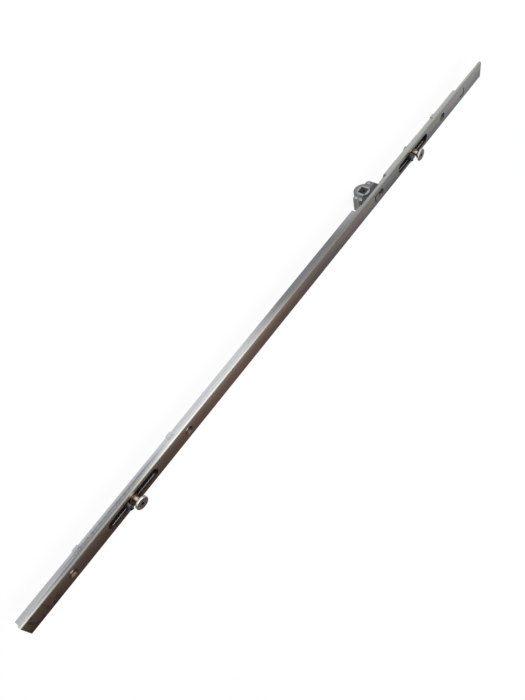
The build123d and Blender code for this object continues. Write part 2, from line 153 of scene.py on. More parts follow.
# The plate's other colours; a pair is mottled from its first to its second
FACE_STREAK = (0.56, 0.53, 0.49)
FACE_BLOTCH = (0.16, 0.14, 0.13)
NEAR_END_BROWN = (0.50, 0.33, 0.19)
NEAR_END_SMEAR = (0.13, 0.115, 0.115)
LEFT_EDGE_HIGHLIGHT = (0.43, 0.49, 0.49)
RIGHT_EDGE_SHADE = (0.13, 0.10, 0.085)
PLATE_SIDE_SHEEN = (0.72, 0.70, 0.65)
LANCE_EDGE_HIGHLIGHT = (0.60, 0.58, 0.55)
LANCE_GROOVE_SHADE = (0.03, 0.026, 0.026)
WALL_RUST = ((0.085, 0.045, 0.036), (0.19, 0.10, 0.06))
WALL_RUST_GLINT = ((0.07, 0.045, 0.03), (0.19, 0.105, 0.05))
WALL_IN_SHADE = (0.035, 0.033, 0.033)
WALL_FOOT_HIGHLIGHT = (0.46, 0.47, 0.49)

# The rod's and the guides' colours
ROD_GREYS = ((0.50, 0.51, 0.55), (0.54, 0.55, 0.58))
FAR_ROD_OLIVE = (0.55, 0.56, 0.49)
SCUFF_GREYS = ((0.13, 0.14, 0.15), (0.34, 0.36, 0.38))
GREASE_AND_SHADE_BLACKS = ((0.012, 0.012, 0.014), (0.035, 0.03, 0.03))
SCREW_SLOT_HIGHLIGHT = (0.93, 0.95, 0.92)

# The castings', rivets', hub's and cams' colours
CASTING_GREYS = ((0.14, 0.143, 0.146), (0.30, 0.305, 0.31))
CASTING_FLOW = (0.17, 0.165, 0.16)
CASTING_SHADE_BY_STRIP = (0.045, 0.045, 0.047)
NOSE_GREYS = ((0.26, 0.27, 0.29), (0.42, 0.43, 0.45))
NOSE_UPPER_DARKS = ((0.055, 0.058, 0.066), (0.12, 0.125, 0.14))
RIVET_GREYS = ((0.36, 0.36, 0.37), (0.24, 0.225, 0.21))
SINTERED_GREYS = ((0.12, 0.12, 0.12), (0.36, 0.36, 0.37))
SINTERED_OIL = (0.22, 0.19, 0.16)
CAM_GREYS = ((0.66, 0.63, 0.60), (0.46, 0.42, 0.38))
HEAD_GREYS = ((0.60, 0.55, 0.50), (0.45, 0.41, 0.37))
HEAD_RIM_HIGHLIGHT = (0.76, 0.75, 0.72)
FOOT_STAIN = ((0.12, 0.09, 0.06), (0.28, 0.17, 0.09))
SOCKET_SHADE = (0.03, 0.03, 0.03)


# Finishes

def add_node(tree, kind, **settings):
    made = tree.nodes.new(kind)
    for name, value in settings.items():
        setattr(made, name, value)
    return made


def fill_ramp(ramp, stops):
    """Gives a colour ramp its stops, each a position and a colour."""
    while len(ramp.elements) < len(stops):
        ramp.elements.new(0.5)
    for element, (position, colour) in zip(ramp.elements, stops):
        element.position = position
        element.color = (*colour, 1)


class Finish:
    """One finish being mixed: a Principled shader, and the places in millimetres that it reads."""

    def __init__(self, name, metallic=1.0):
        self.material = bpy.data.materials.new(name)
        self.material.use_nodes = True
        self.tree = self.material.node_tree
        self.tree.nodes.clear()
        surface = self.tree.nodes.new("ShaderNodeOutputMaterial")
        self.shader = self.tree.nodes.new("ShaderNodeBsdfPrincipled")
        self.shader.inputs["Metallic"].default_value = metallic
        self.shader.inputs["Roughness"].default_value = PLAIN_ROUGHNESS
        self.tree.links.new(self.shader.outputs["BSDF"], surface.inputs["Surface"])
        where = self.tree.nodes.new("ShaderNodeTexCoord")
        scaled = self.node("ShaderNodeVectorMath", operation="SCALE")
        self.tree.links.new(where.outputs["Object"], scaled.inputs[0])
        scaled.inputs["Scale"].default_value = 1 / MM
        self.place = scaled.outputs[0]
        self.x, self.y, self.z = self.split(self.place)
        facing = self.tree.nodes.new("ShaderNodeNewGeometry")
        self.facing_x, self.facing_y, self.facing_z = self.split(facing.outputs["Normal"])

    def node(self, kind, **settings):
        return add_node(self.tree, kind, **settings)

    def feed(self, socket, value):
        if isinstance(value, bpy.types.NodeSocket):
            self.tree.links.new(value, socket)
        elif isinstance(value, tuple) and len(value) == 3 and socket.type == "RGBA":
            socket.default_value = (*value, 1)
        else:
            socket.default_value = value

    def split(self, vector):
        made = self.node("ShaderNodeSeparateXYZ")
        self.feed(made.inputs[0], vector)
        return made.outputs[0], made.outputs[1], made.outputs[2]

    def sum(self, operation, *values):
        made = self.node("ShaderNodeMath", operation=operation)
        for index, value in enumerate(values):
            self.feed(made.inputs[index], value)
        return made.outputs[0]

    def between(self, value, low, high, to_low=0.0, to_high=1.0):
        """Rises smoothly from to_low at low to to_high at high."""
        made = self.node("ShaderNodeMapRange", interpolation_type="SMOOTHSTEP")
        self.feed(made.inputs["Value"], value)
        self.feed(made.inputs["From Min"], low)
        self.feed(made.inputs["From Max"], high)
        self.feed(made.inputs["To Min"], to_low)
        self.feed(made.inputs["To Max"], to_high)
        return made.outputs[0]

    def off_middle(self):
        """How far a place lies from the strip's middle line."""
        return self.sum("ABSOLUTE", self.y)

    def joined(self, operation, masks):
        whole = masks[0]
        for mask in masks[1:]:
            whole = self.sum(operation, whole, mask)
        return whole

    def both(self, *masks):
        """Where all the masks are."""
        return self.joined("MULTIPLY", masks)

    def either(self, *masks):
        """Where any of the masks is."""
        return self.joined("MAXIMUM", masks)

    def stretched(self, along, across, up):
        made = self.node("ShaderNodeMapping", vector_type="TEXTURE")
        self.feed(made.inputs["Vector"], self.place)
        made.inputs["Scale"].default_value = (along, across, up)
        return made.outputs[0]

    def grain(self, size=(1, 1, 1), detail=3.0, roughness=0.55, distortion=0.0, seed=0.0):
        """Noise whose spots are about size millimetres long, wide and high."""
        made = self.node("ShaderNodeTexNoise", noise_dimensions="4D")
        self.feed(made.inputs["Vector"], self.stretched(*size))
        made.inputs["Scale"].default_value = 1.0
        made.inputs["Detail"].default_value = detail
        made.inputs["Roughness"].default_value = roughness
        made.inputs["Distortion"].default_value = distortion
        made.inputs["W"].default_value = seed
        return made.outputs[0]

    def cells(self, size):
        """The distance to the nearest of many points about size millimetres apart."""
        made = self.node("ShaderNodeTexVoronoi", feature="F1")
        self.feed(made.inputs["Vector"], self.stretched(size, size, size))
        made.inputs["Scale"].default_value = 1.0
        return made.outputs["Distance"]

    def tint(self, share, first, second):
        """The first colour, giving way to the second as the share rises to 1."""
        made = self.node("ShaderNodeMix", data_type="RGBA")
        self.feed(made.inputs[MIX_SHARE], share)
        self.feed(made.inputs[MIX_FIRST], first)
        self.feed(made.inputs[MIX_SECOND], second)
        return made.outputs[MIX_RESULT]

    def multiplied(self, first, second):
        made = self.node("ShaderNodeMix", data_type="RGBA", blend_type="MULTIPLY")
        made.inputs[MIX_SHARE].default_value = 1.0
        self.feed(made.inputs[MIX_FIRST], first)
        self.feed(made.inputs[MIX_SECOND], second)
        return made.outputs[MIX_RESULT]

    def out_of_box(self, x0, x1, y0, y1):
        """How far a place lies outside a rectangle on the face, in millimetres."""
        sides = []
        for value, low, high in ((self.x, x0, x1), (self.y, y0, y1)):
            off = self.sum("ABSOLUTE", self.sum("SUBTRACT", value, (low + high) / 2))
            sides.append(self.sum("SUBTRACT", off, (high - low) / 2))
        return self.sum("MAXIMUM", *sides)

    def lance_line(self, corner_x, along):
        """How far a place lies outside an L-shaped lance mark whose leg runs toward along * X."""
        low_x, high_x = sorted((corner_x - along * LANCE_HALF_WIDTH, corner_x + along * LANCE_LEG))
        leg_y = along * LANCE_OFFSET
        leg = self.out_of_box(low_x, high_x, leg_y - LANCE_HALF_WIDTH, leg_y + LANCE_HALF_WIDTH)
        reach = LANCE_OFFSET + LANCE_HALF_WIDTH
        foot = self.out_of_box(corner_x - LANCE_HALF_WIDTH, corner_x + LANCE_HALF_WIDTH, -reach, reach)
        return self.sum("MINIMUM", leg, foot)

    def scale_of_colours(self, value, stops):
        """The colour that the stops give for a value between 0 and 1."""
        made = self.node("ShaderNodeValToRGB")
        self.feed(made.inputs[0], value)
        fill_ramp(made.color_ramp, stops)
        return made.outputs[0]

    def relief(self, height, depth, strength, normal=None):
        """Bumps of a depth in millimetres, laid over those of another normal."""
        made = self.node("ShaderNodeBump")
        made.inputs["Strength"].default_value = strength
        made.inputs["Distance"].default_value = depth * MM
        self.feed(made.inputs["Height"], height)
        if normal is not None:
            self.feed(made.inputs["Normal"], normal)
        return made.outputs[0]

    def paint(self, colour, roughness, normal, metallic=None):
        self.feed(self.shader.inputs["Base Color"], colour)
        self.feed(self.shader.inputs["Roughness"], roughness)
        self.feed(self.shader.inputs["Normal"], normal)
        if metallic is not None:
            self.feed(self.shader.inputs["Metallic"], metallic)
        return self.material


def sheen_tone_along(mix, tones):
    """A grey that changes along the strip, from (place along X, tone) pairs: painted sheen, how light
    the reflections fall along the strip.
    """
    middle = 0.5 - 0.5 * PLATE_MIDDLE_X / PLATE_HALF_LENGTH
    share = mix.sum("MULTIPLY_ADD", mix.x, 0.5 / PLATE_HALF_LENGTH, middle)
    first = PLATE_MIDDLE_X - PLATE_HALF_LENGTH
    stops = [((x - first) / (2 * PLATE_HALF_LENGTH), (tone, tone, tone)) for x, tone in tones]
    return mix.scale_of_colours(share, stops)


def guided_stretch(mix):
    """The scuffed stretch of the rod's side between the two near guides, on its upper half."""
    return mix.both(
        mix.between(mix.x, -385.0, -350.0),
        mix.between(mix.x, -257.0, -300.0),
        mix.between(mix.facing_y, 0.3, 0.7),
        mix.between(mix.z, 5.8, 6.6),
    )


def scuffs(mix):
    """Speckle, and the dull grey that it gives where a guide has rubbed."""
    speckle = mix.grain((2.4, 1.0, 0.8), detail=5.0, roughness=0.75, seed=8.0)
    return speckle, mix.tint(mix.between(speckle, 0.36, 0.66), *SCUFF_GREYS)


def face_colour(mix):
    """Brown at the near end, lighter toward the +Y edge; olive, rose and blue at the far end."""
    drift = mix.grain((34, 12, 12), detail=2.0, distortion=0.8, seed=3.1)
    wisp = mix.grain((18, 1.6, 3), detail=3.0, seed=7.7)
    across = mix.sum("MULTIPLY_ADD", mix.y, 0.5 / PLATE_HALF_WIDTH, 0.5)
    wave = mix.sum("MULTIPLY", mix.sum("SUBTRACT", wisp, 0.5), 0.2)
    wave = mix.sum("ADD", wave, mix.sum("SUBTRACT", drift, 0.5))
    film = mix.scale_of_colours(mix.sum("ADD", across, wave), FILM_COLOURS)
    brown = mix.scale_of_colours(mix.sum("MULTIPLY_ADD", wave, 0.25, across), BROWN_COLOURS)
    # Painted reflection brightness along the strip, over the film's own tone
    brown = mix.multiplied(brown, sheen_tone_along(mix, BROWN_TONES))
    film = mix.multiplied(film, sheen_tone_along(mix, FILM_TONES))
    return mix.tint(mix.between(mix.x, -170.0, 0.0), brown, film)


def passivated_plate():
    mix = Finish("passivated_plate")
    colour = face_colour(mix)
    streaks = mix.grain((80, 0.35, 0.6), detail=3.0, roughness=0.6, seed=1.3)
    blotch = mix.grain((16, 7, 6), detail=3.0, roughness=0.6, seed=5.0)
    colour = mix.tint(mix.between(streaks, 0.4, 0.8, 0.0, 0.08), colour, FACE_STREAK)
    colour = mix.tint(mix.between(blotch, 0.58, 0.8, 0.0, 0.45), colour, FACE_BLOTCH)
    near_end = mix.between(mix.x, -372.0, -390.0)
    smear = mix.grain((3.2, 11, 6), detail=2.0, roughness=0.5, seed=12.4)
    browned = mix.both(near_end, mix.between(mix.y, -4.0, 4.0), 0.45)
    colour = mix.tint(browned, colour, NEAR_END_BROWN)
    smeared = mix.both(near_end, mix.between(smear, 0.52, 0.62), 0.75)
    colour = mix.tint(smeared, colour, NEAR_END_SMEAR)
    tone = sheen_tone_along(mix, EDGE_HIGHLIGHT_TONES)
    # Painted highlight: a pale cyan line along the rounded +Y edge, lighter and darker along the strip
    left_edge = mix.both(mix.between(mix.y, 6.9, 7.3), mix.between(mix.facing_z, -0.2, 0.1))
    colour = mix.tint(mix.sum("MULTIPLY", left_edge, 0.95), colour, mix.multiplied(tone, LEFT_EDGE_HIGHLIGHT))
    # Painted sheen: the plate's +Y side wall painted pale, as it reflects the bright floor, lighter
    # and darker along the strip
    side = mix.between(mix.facing_y, 0.75, 0.95)
    colour = mix.tint(side, colour, mix.multiplied(tone, PLATE_SIDE_SHEEN))
    # Painted shade: the rounded -Y edge darkened to dark brown
    right_edge = mix.between(mix.y, -6.6, -7.3)
    colour = mix.tint(mix.sum("MULTIPLY", right_edge, 0.45), colour, RIGHT_EDGE_SHADE)
    # The L-shaped lance marks: a painted highlight along the edges of each groove, and painted shade,
    # near black, inside it
    for corner_x, along in LANCE_CORNERS:
        line = mix.lance_line(corner_x, along)
        colour = mix.tint(mix.between(line, 1.1, 0.7, 0.0, 0.25), colour, LANCE_EDGE_HIGHLIGHT)
        colour = mix.tint(mix.between(line, 0.50, 0.25), colour, LANCE_GROOVE_SHADE)
    end_gap = mix.sum("ABSOLUTE", mix.sum("SUBTRACT", mix.x, PLATE_MIDDLE_X))
    cut_wall = mix.both(
        mix.between(mix.off_middle(), CUTS_REACH_Y + 0.4, CUTS_REACH_Y),
        mix.between(mix.sum("ABSOLUTE", mix.facing_z), 0.95, 0.85),
        mix.between(end_gap, PLATE_HALF_LENGTH - 0.2, PLATE_HALF_LENGTH - 0.4),
    )
    rust = mix.grain((2.6, 2.0, 1.6), detail=3.0, seed=9.0)
    lit = mix.both(mix.between(mix.facing_y, 0.25, 0.7), mix.between(mix.facing_x, -0.5, -0.1))
    red_brown = mix.tint(mix.between(rust, 0.42, 0.62), *WALL_RUST)
    # Orange rust on the cut walls that face +Y, painted brighter at the slots' near ends and beside
    # the screw holes as a painted highlight, an orange glint; the walls facing away are painted shade,
    # near black
    worn = []
    for slot_x in (NEAR_CAM_X, FAR_CAM_X):
        end_x = slot_x - SLOT_LENGTH / 2
        inward = mix.between(mix.x, end_x - 1.0, end_x)
        worn.append(mix.both(inward, mix.between(mix.x, end_x + 8.0, end_x + 3.0)))
    for screw_x in SCREW_XS:
        off = mix.sum("ABSOLUTE", mix.sum("SUBTRACT", mix.x, screw_x - 0.6))
        worn.append(mix.between(off, 1.1, 0.6))
    rust_glint_ends = mix.either(*worn)
    orange = mix.tint(mix.between(rust, 0.35, 0.6), *WALL_RUST_GLINT)
    red_brown = mix.tint(mix.both(rust_glint_ends, mix.between(mix.facing_x, -0.4, -0.1)), red_brown, orange)
    wall_colour = mix.tint(lit, WALL_IN_SHADE, red_brown)
    # Painted highlight: a pale matt line at the foot of each slot's wall that faces +Y, where the
    # plate's back meets the rod
    foot = mix.both(
        mix.between(mix.z, PLATE_BACK_Z + 0.6, PLATE_BACK_Z + 0.4),
        mix.between(mix.facing_y, 0.6, 0.9),
        mix.between(mix.off_middle(), SLOT_WIDTH / 2 - 0.3, SLOT_WIDTH / 2 - 0.1),
    )
    wall_colour = mix.tint(foot, wall_colour, WALL_FOOT_HIGHLIGHT)
    colour = mix.tint(cut_wall, colour, wall_colour)
    metal = mix.sum("SUBTRACT", 1.0, mix.both(cut_wall, mix.sum("MAXIMUM", foot, 0.3)))
    rough = mix.between(streaks, 0.3, 0.8, 0.24, 0.32)
    rough = mix.sum("ADD", rough, mix.between(blotch, 0.5, 0.9, 0.0, 0.08))
    rough = mix.sum("ADD", rough, mix.sum("MULTIPLY", cut_wall, 0.2))
    normal = mix.relief(streaks, 0.006, 0.4)
    normal = mix.relief(mix.grain((9, 4, 3), detail=2.0, seed=2.0), 0.03, 0.3, normal)
    return mix.paint(colour, rough, normal, metal)


def rod_steel():
    mix = Finish("rod_steel")
    streaks = mix.grain((80, 0.5, 0.5), detail=3.0, roughness=0.6, seed=4.4)
    colour = mix.tint(mix.between(streaks, 0.3, 0.75), *ROD_GREYS)
    toward_far = mix.between(mix.x, -20.0, 30.0)
    colour = mix.tint(mix.sum("MULTIPLY", toward_far, 0.8), colour, FAR_ROD_OLIVE)
    # Painted sheen: the rod lighter and darker along the strip as its reflections fall
    colour = mix.multiplied(colour, sheen_tone_along(mix, ROD_SHEEN_TONES))
    guided = guided_stretch(mix)
    speckle, scuffed = scuffs(mix)
    colour = mix.tint(mix.sum("MULTIPLY", guided, 0.9), colour, scuffed)
    # The rod's face under the plate: grease, and painted shade where the plate covers it, near black
    # and rougher
    under_face = mix.both(
        mix.between(mix.facing_z, 0.6, 0.9),
        mix.between(mix.z, ROD_TOP_Z - 0.6, ROD_TOP_Z - 0.5),
        mix.between(mix.off_middle(), ROD_FACE_REACH_Y + 0.8, ROD_FACE_REACH_Y),
    )
    grease = mix.grain((8, 1.4, 2), detail=3.0, seed=6.0)
    greasy_and_shaded = mix.tint(mix.between(grease, 0.45, 0.75), *GREASE_AND_SHADE_BLACKS)
    colour = mix.tint(under_face, colour, greasy_and_shaded)
    # Painted highlight: the wall of each screw slot in the rod that faces +Y, painted near white and
    # matt as if brightly lit
    lit_screw_slot_wall = mix.both(
        mix.between(mix.facing_y, 0.5, 0.8),
        mix.between(mix.off_middle(), SCREW_SLOT_REACH_Y + 0.4, SCREW_SLOT_REACH_Y),
    )
    colour = mix.tint(lit_screw_slot_wall, colour, SCREW_SLOT_HIGHLIGHT)
    metal = mix.sum("SUBTRACT", 1.0, lit_screw_slot_wall)
    rough = mix.between(streaks, 0.3, 0.8, 0.28, 0.36)
    rough = mix.sum("ADD", rough, mix.sum("MULTIPLY", guided, 0.12))
    rough = mix.sum("ADD", rough, mix.sum("MULTIPLY", under_face, 0.35))
    normal = mix.relief(streaks, 0.006, 0.4)
    normal = mix.relief(mix.sum("MULTIPLY", speckle, guided), 0.06, 0.4, normal)
    return mix.paint(colour, rough, normal, metal)


def die_cast_zinc():
    mix = Finish("die_cast_zinc", metallic=0.85)
    lumps = mix.grain((0.55, 0.55, 0.55), detail=5.0, roughness=0.75, seed=2.2)
    flow = mix.grain((5, 3, 3), detail=3.0, distortion=1.2, seed=5.5)
    colour = mix.tint(mix.between(lumps, 0.35, 0.7), *CASTING_GREYS)
    colour = mix.tint(mix.between(flow, 0.5, 0.8, 0.0, 0.35), colour, CASTING_FLOW)
    # Painted shade: the casing darkened near the strip, where the faceplate and rod shade it
    shaded_by_strip = mix.between(mix.z, 2.6, 4.2)
    colour = mix.tint(mix.sum("MULTIPLY", shaded_by_strip, 0.75), colour, CASTING_SHADE_BY_STRIP)
    rough = mix.between(lumps, 0.3, 0.7, 0.62, 0.42)
    normal = mix.relief(lumps, 0.16, 0.65)
    normal = mix.relief(mix.cells(0.42), 0.05, 0.4, normal)
    return mix.paint(colour, rough, normal)


def bright_steel():
    mix = Finish("bright_steel")
    marks = mix.grain((0.8, 0.8, 0.8), detail=4.0, seed=1.1)
    colour = mix.tint(mix.between(marks, 0.4, 0.75), *RIVET_GREYS)
    rough = mix.between(marks, 0.3, 0.8, 0.20, 0.42)
    return mix.paint(colour, rough, mix.relief(marks, 0.04, 0.4))


def sintered_steel():
    mix = Finish("sintered_steel", metallic=0.9)
    pores = mix.cells(0.28)
    oil = mix.grain((3, 3, 3), detail=3.0, seed=4.0)
    colour = mix.tint(mix.between(pores, 0.05, 0.35), *SINTERED_GREYS)
    colour = mix.tint(mix.between(oil, 0.5, 0.8, 0.0, 0.5), colour, SINTERED_OIL)
    rough = mix.between(oil, 0.3, 0.8, 0.48, 0.30)
    return mix.paint(colour, rough, mix.relief(pores, 0.04, 0.5))


def cam_steel(side, cam_x):
    """Turned about its own centre, which lies off the slot's middle; stained at the foot; its head's
    rim a painted highlight, its socket painted shade, and the far cam's head painted darker as shade.
    """
    mix = Finish("cam_steel_" + side)
    axis_x = cam_x + CAM_ECCENTRICITY
    out_x = mix.sum("SUBTRACT", mix.x, axis_x)
    squares = [mix.sum("POWER", out, 2.0) for out in (out_x, mix.y)]
    radius = mix.sum("SQRT", mix.sum("ADD", *squares))
    turned = mix.sum("SINE", mix.sum("MULTIPLY", radius, FLAT_TURNING))
    up_turned = mix.sum("SINE", mix.sum("MULTIPLY", mix.z, ROUND_TURNING))
    flat = mix.between(mix.sum("ABSOLUTE", mix.facing_z), 0.5, 0.9)
    lines = mix.tint(flat, up_turned, turned)
    patches = mix.grain((1.8, 1.8, 1.8), detail=4.0, seed=3.0)
    on_head = mix.both(mix.between(mix.z, CAM_HEAD_TOP_Z - 0.9, CAM_HEAD_TOP_Z - 0.3), flat)
    colour = mix.tint(mix.between(patches, 0.35, 0.75), *CAM_GREYS)
    head = mix.tint(mix.between(patches, 0.4, 0.7), *HEAD_GREYS)
    # Painted highlight: the head's rim painted bright
    head = mix.tint(mix.between(radius, HEAD_RIM_RADIUS - 0.2, HEAD_RIM_RADIUS), head, HEAD_RIM_HIGHLIGHT)
    # Painted shade: the far cam's head painted darker than the near one's
    head = mix.multiplied(head, (HEAD_SHADE_TONES[side],) * 3)
    colour = mix.tint(on_head, colour, head)
    foot = mix.between(mix.z, FACE_Z + 2.2, FACE_Z + 0.4)
    stain = mix.tint(mix.between(patches, 0.35, 0.7), *FOOT_STAIN)
    colour = mix.tint(mix.sum("MULTIPLY", foot, 0.85), colour, stain)
    # Painted shade: the inside of the head's tool socket painted near black
    socket = mix.both(
        mix.between(mix.z, CAM_HEAD_TOP_Z - 0.25, CAM_HEAD_TOP_Z - 0.5),
        mix.between(radius, SOCKET_RADIUS + 0.1, SOCKET_RADIUS),
    )
    colour = mix.tint(socket, colour, SOCKET_SHADE)
    rough = mix.between(patches, 0.3, 0.8, 0.18, 0.34)
    return mix.paint(colour, rough, mix.relief(lines, 0.004, 0.5))


def nose_casting():
    mix = Finish("nose_casting", metallic=0.9)
    lumps = mix.grain((0.7, 0.7, 0.7), detail=4.0, roughness=0.7, seed=6.6)
    colour = mix.tint(mix.between(lumps, 0.35, 0.7), *NOSE_GREYS)
    # The nose darker above the rod's top face
    dark_near_top = mix.tint(mix.between(lumps, 0.35, 0.7), *NOSE_UPPER_DARKS)
    colour = mix.tint(mix.between(mix.z, ROD_TOP_Z - 0.5, ROD_TOP_Z), colour, dark_near_top)
    rough = mix.between(lumps, 0.3, 0.7, 0.44, 0.30)
    return mix.paint(colour, rough, mix.relief(lumps, 0.08, 0.5))


FINISHES = {
    "passivated_plate": passivated_plate(),
    "rod_steel": rod_steel(),
    "die_cast_zinc": die_cast_zinc(),
    "bright_steel": bright_steel(),
    "sintered_steel": sintered_steel(),
    "near_cam": cam_steel("near", NEAR_CAM_X),
    "far_cam": cam_steel("far", FAR_CAM_X),
    "carrier": nose_casting(),
}
FINISH_OF_NODE = {
    "faceplate": "passivated_plate",
    "gearbox_case": "die_cast_zinc",
    "gearbox_cover": "die_cast_zinc",
    "case_rivets": "bright_steel",
    "spindle_hub": "sintered_steel",
    "drive_rack": "sintered_steel",
    "rack_rivets": "bright_steel",
    "near_drive_rod": "rod_steel",
    "far_drive_rod": "rod_steel",
    "near_cam_carrier": "carrier",
    "far_cam_carrier": "carrier",
    "near_carrier_rivets": "bright_steel",
    "far_carrier_rivets": "bright_steel",
    "near_cam_washer": "bright_steel",
    "far_cam_washer": "bright_steel",
    "near_cam": "near_cam",
    "far_cam": "far_cam",
    "near_rod_guide": "rod_steel",
    "inner_rod_guide": "rod_steel",
    "far_rod_guide": "rod_steel",
}
for node_name, finish_name in FINISH_OF_NODE.items():
    for held in NODES[node_name].material_slots:
        held.link = "DATA"
        held.material = FINISHES[finish_name]


# Small raised marks, laid out by geometry nodes

class Pattern:
    """A geometry node tree with named sizes, used once and turned into a plain mesh."""

    def __init__(self, name):
        self.tree = bpy.data.node_groups.new(name, "GeometryNodeTree")
        self.sizes = {}
        self.tree.interface.new_socket("Geometry", in_out="INPUT", socket_type="NodeSocketGeometry")
        self.tree.interface.new_socket("Geometry", in_out="OUTPUT", socket_type="NodeSocketGeometry")
        self.start = self.tree.nodes.new("NodeGroupInput")
        self.end = self.tree.nodes.new("NodeGroupOutput")

    def size(self, name, kind="NodeSocketFloat"):
        made = self.tree.interface.new_socket(name, in_out="INPUT", socket_type=kind)
        self.sizes[name] = made.identifier
        return self.start.outputs[name]

    def node(self, kind, settings=None, **sockets):
        made = add_node(self.tree, kind, **(settings or {}))
        for name, value in sockets.items():
            socket = made.inputs[name.replace("_", " ")]
            if isinstance(value, bpy.types.NodeSocket):
                self.tree.links.new(value, socket)
            else:
                socket.default_value = value
        return made.outputs[0]

    def close_at_points(self, shape, finish, **turned):
        """Puts the shape at every point that comes in, and sends the lot out."""
        points = self.start.outputs["Geometry"]
        placed = self.node("GeometryNodeInstanceOnPoints", Points=points, Instance=shape, **turned)
        loose = self.node("GeometryNodeRealizeInstances", Geometry=placed)
        shaped = self.node("GeometryNodeSetMaterial", Geometry=loose, Material=finish)
        self.tree.links.new(shaped, self.end.inputs[0])

    def make(self, name, points, body, slot, **sizes):
        """Makes a piece with one mark at each of the points, which are in millimetres."""
        seed = bpy.data.meshes.new(name + "_points")
        seed.from_pydata([[c * MM for c in point] for point in points], [], [])
        holder = bpy.data.objects.new(name + "_points", seed)
        bpy.context.scene.collection.objects.link(holder)
        spread = holder.modifiers.new("marks", "NODES")
        spread.node_group = self.tree
        for size_name, value in sizes.items():
            spread[self.sizes[size_name.replace("_", " ")]] = value
        ready = holder.evaluated_get(bpy.context.evaluated_depsgraph_get())
        mesh = bpy.data.meshes.new_from_object(ready)
        bpy.data.objects.remove(holder)
        mesh.name = name
        shape = bmesh.new()
        shape.from_mesh(mesh)
        bmesh.ops.remove_doubles(shape, verts=shape.verts, dist=WELD_DISTANCE * MM)
        bmesh.ops.recalc_face_normals(shape, faces=shape.faces)
        shape.to_mesh(mesh)
        shape.free()
        mesh.polygons.foreach_set("use_smooth", [True] * len(mesh.polygons))
        piece = bpy.data.objects.new(name, mesh)
        bpy.context.scene.collection.objects.link(piece)
        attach(piece, body)


def rim_pattern():
    """A thin worn rim, left by the punch, round an opening with rounded ends."""
    rim = Pattern("rim_round_opening")
    length = rim.size("Opening Length")
    width = rim.size("Opening Width")
    corner = rim.size("Corner Radius")
    thick = rim.size("Rim Radius")
    finish = rim.size("Finish", "NodeSocketMaterial")
    path = rim.node("GeometryNodeCurvePrimitiveQuadrilateral", Width=length, Height=width)
    path = rim.node("GeometryNodeFilletCurve", {"mode": "POLY"}, Curve=path, Count=16, Radius=corner)
    section = rim.node("GeometryNodeCurvePrimitiveCircle", Resolution=6, Radius=thick)
    bead = rim.node("GeometryNodeCurveToMesh", Curve=path, Profile_Curve=section)
    rim.close_at_points(bead, finish)
    return rim


def dome_pattern():
    """A low round nugget, as a spot weld or a stake leaves it, lying across or upright."""
    dome = Pattern("low_dome")
    radius = dome.size("Radius")
    flatness = dome.size("Flatness", "NodeSocketVector")
    finish = dome.size("Finish", "NodeSocketMaterial")
    ball = dome.node("GeometryNodeMeshUVSphere", Segments=14, Rings=8, Radius=radius)
    dome.close_at_points(ball, finish, Scale=flatness)
    return dome


def ring_pattern():
    """A fine raised ring on an upright side, as an ejector pin or a turning tool leaves it."""
    ring = Pattern("fine_ring")
    radius = ring.size("Ring Radius")
    thick = ring.size("Line Radius")
    finish = ring.size("Finish", "NodeSocketMaterial")
    path = ring.node("GeometryNodeCurvePrimitiveCircle", Resolution=28, Radius=radius)
    section = ring.node("GeometryNodeCurvePrimitiveCircle", Resolution=5, Radius=thick)
    line = ring.node("GeometryNodeCurveToMesh", Curve=path, Profile_Curve=section)
    ring.close_at_points(line, finish, Rotation=(math.pi / 2, 0, 0))
    return ring


def around(count, radius, x, z):
    """Points round an upright axis at x."""
    steps = [2 * math.pi * index / count for index in range(count)]
    return [(x + radius * math.cos(step), radius * math.sin(step), z) for step in steps]


rims = rim_pattern()
domes = dome_pattern()
rings = ring_pattern()
rims.make(
    "hole_rims",
    [(x, 0, FACE_Z) for x in SCREW_XS],
    "frame",
    "passivated_plate",
    Opening_Length=2 * COUNTERSINK_RADIUS * MM,
    Opening_Width=2 * COUNTERSINK_RADIUS * MM,
    Corner_Radius=COUNTERSINK_RADIUS * MM,
    Rim_Radius=RIM_RADIUS * MM,
    Finish=FINISHES["passivated_plate"],
)
rims.make(
    "slot_rims",
    [(x, 0, FACE_Z) for x in (NEAR_CAM_X, FAR_CAM_X)],
    "frame",
    "passivated_plate",
    Opening_Length=SLOT_LENGTH * MM,
    Opening_Width=SLOT_WIDTH * MM,
    Corner_Radius=SLOT_WIDTH / 2 * MM,
    Rim_Radius=RIM_RADIUS / 2 * MM,
    Finish=FINISHES["passivated_plate"],
)
domes.make(
    "guide_weld_nuggets",
    [
        (x + step, side * GUIDE_OUTSIDE_Y, NUGGET_Z)
        for x in GUIDE_XS.values()
        for step in (-NUGGET_OFF_MIDDLE, NUGGET_OFF_MIDDLE)
        for side in (-1, 1)
    ],
    "frame",
    "bright_steel",
    Radius=NUGGET_RADIUS * MM,
    Flatness=(1.0, 0.25, 1.0),
    Finish=FINISHES["bright_steel"],
)
for side_name, cam_x in (("near", NEAR_CAM_X), ("far", FAR_CAM_X)):
    domes.make(
        side_name + "_cam_stakes",
        around(STAKE_COUNT, CAM_STAKE_REACH, cam_x, CLINCH_LOW_Z),
        side_name + "_cam",
        "cam_steel",
        Radius=STAKE_RADIUS * MM,
        Flatness=(1.0, 1.0, 0.4),
        Finish=FINISHES[side_name + "_cam"],
    )
rings.make(
    "casing_ejector_rings",
    [(x, side * CASE_SIDE_Y, z) for side in (-1, 1) for x, z in EJECTOR_PLACES],
    "frame",
    "die_cast_zinc",
    Ring_Radius=EJECTOR_RADIUS * MM,
    Line_Radius=RING_LINE_RADIUS * MM,
    Finish=FINISHES["die_cast_zinc"],
)
